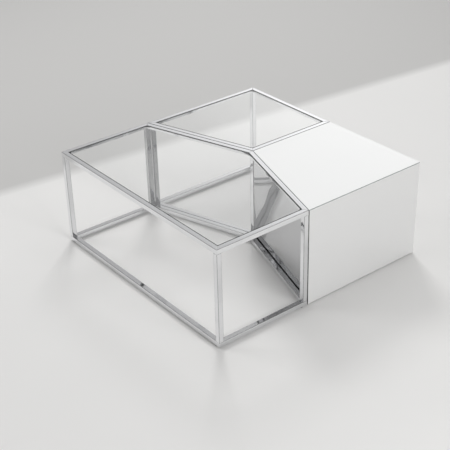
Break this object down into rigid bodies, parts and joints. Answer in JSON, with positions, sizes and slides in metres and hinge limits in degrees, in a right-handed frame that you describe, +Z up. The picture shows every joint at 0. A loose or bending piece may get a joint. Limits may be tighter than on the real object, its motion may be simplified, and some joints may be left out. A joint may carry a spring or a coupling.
{
  "type": "sectional coffee table",
  "caption": "Low square coffee table in separate parts that fit together: chrome tube frames with flush clear glass tops, and a closed white block with mirrored inner faces.",
  "frame": {"origin": "middle of the square plan, on the floor", "axes": "+Z up; +Y from the front table's long side towards the back; +X towards the side where the white block stands"},
  "size_m": [1, 1, 0.41],
  "materials": {
    "chrome_tube": "polished chrome plate on square steel tube",
    "clear_glass": "clear toughened glass with polished edges",
    "dark_rubber": "dark soft pad",
    "grey_nylon": "moulded, fine matt",
    "white_lacquer": "high-gloss white lacquer on fibreboard",
    "white_glass": "white back-painted glass, polished edge",
    "mirror_sheet": "mirror, slightly wavy",
    "fibreboard": "bare fibreboard",
    "pine": "planed softwood",
    "zinc_steel": "zinc plated"
  },
  "bodies": {
    "front_frame": {"front_top_rail_front": "chrome_tube", "front_top_rail_right": "chrome_tube", "front_top_rail_slant_right": "chrome_tube", "front_top_rail_slant_left": "chrome_tube", "front_top_rail_left": "chrome_tube", "front_bottom_rail_front": "chrome_tube", "front_bottom_rail_right": "chrome_tube", "front_bottom_rail_slant_right": "chrome_tube", "front_bottom_rail_slant_left": "chrome_tube", "front_bottom_rail_left": "chrome_tube", "front_leg_front_left": "chrome_tube", "front_leg_front_right": "chrome_tube", "front_leg_right": "chrome_tube", "front_leg_left": "chrome_tube", "front_plate_front_left": "chrome_tube", "front_plate_front_right": "chrome_tube", "front_plate_right": "chrome_tube", "front_plate_middle": "chrome_tube", "front_plate_left": "chrome_tube", "front_glass_pads": "dark_rubber", "front_glides": "grey_nylon"},
    "front_glass": {"front_glass": "clear_glass"},
    "back_frame": {"back_top_rail_slant": "chrome_tube", "back_top_rail_inner": "chrome_tube", "back_top_rail_back": "chrome_tube", "back_top_rail_left": "chrome_tube", "back_bottom_rail_slant": "chrome_tube", "back_bottom_rail_inner": "chrome_tube", "back_bottom_rail_back": "chrome_tube", "back_bottom_rail_left": "chrome_tube", "back_leg_left": "chrome_tube", "back_leg_middle": "chrome_tube", "back_leg_right": "chrome_tube", "back_leg_back_left": "chrome_tube", "back_plate_left": "chrome_tube", "back_plate_middle": "chrome_tube", "back_plate_right": "chrome_tube", "back_plate_back_left": "chrome_tube", "back_glass_pads": "dark_rubber", "back_glides": "grey_nylon"},
    "back_glass": {"back_glass": "clear_glass"},
    "block": {"block_wall_slant": "white_lacquer", "block_wall_right": "white_lacquer", "block_wall_back": "white_lacquer", "block_wall_inner": "white_lacquer", "block_post_middle": "pine", "block_post_right": "pine", "block_post_back_right": "pine", "block_post_back": "pine", "block_base": "fibreboard", "block_lid": "fibreboard", "block_cover": "white_glass", "block_mirror_slant": "mirror_sheet", "block_mirror_inner": "mirror_sheet", "block_dowels": "pine", "block_screws": "zinc_steel", "block_glides": "grey_nylon"}
  },
  "joints": [
    {"name": "front_glass_lift", "type": "slide", "parent": "front_frame", "child": "front_glass", "axis": [0, 0, 1], "range_m": [0, 0.15]},
    {"name": "back_table_pull", "type": "slide", "parent": "front_frame", "child": "back_frame", "axis": [-0.7071, 0.7071, 0], "range_m": [0, 0.4]},
    {"name": "back_glass_lift", "type": "slide", "parent": "back_frame", "child": "back_glass", "axis": [0, 0, 1], "range_m": [0, 0.15]},
    {"name": "block_pull", "type": "slide", "parent": "front_frame", "child": "block", "axis": [0.7071, 0.7071, 0], "range_m": [0, 0.4]}
  ]
}
